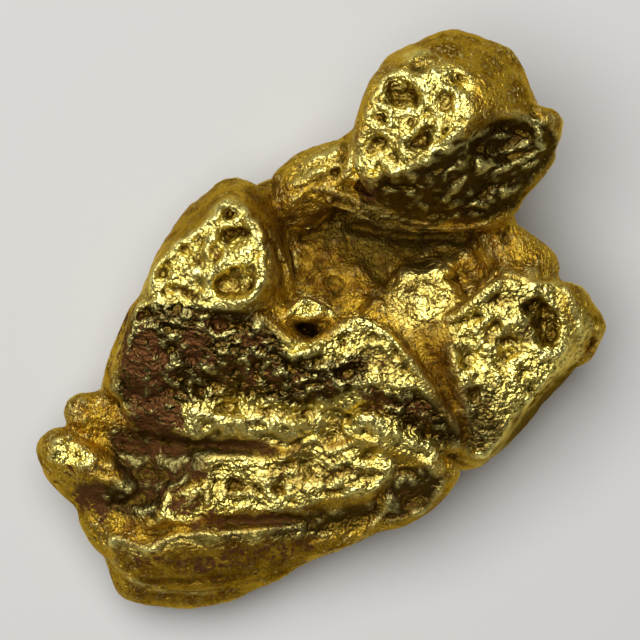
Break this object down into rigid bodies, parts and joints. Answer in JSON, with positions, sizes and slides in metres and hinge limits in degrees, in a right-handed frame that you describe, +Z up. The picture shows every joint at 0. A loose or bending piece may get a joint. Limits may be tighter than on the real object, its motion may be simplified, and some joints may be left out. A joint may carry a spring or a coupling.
{
  "type": "gold nugget",
  "caption": "Natural gold nugget: one irregular solid lump with a raised head, a broad ridged slab, a smooth saddle and rolled lower edge, lying on its worn flat underside.",
  "frame": {"origin": "on the surface that the nugget rests on, under the middle of its bounding box", "axes": "+Z up out of the resting face, +Y from the rolled lower edge towards the raised head, +X towards the broad wing on the right"},
  "size_m": [0.0164, 0.0166, 0.0082],
  "materials": {
    "gold": null
  },
  "bodies": {
    "root": {"nugget": "gold"}
  },
  "joints": []
}
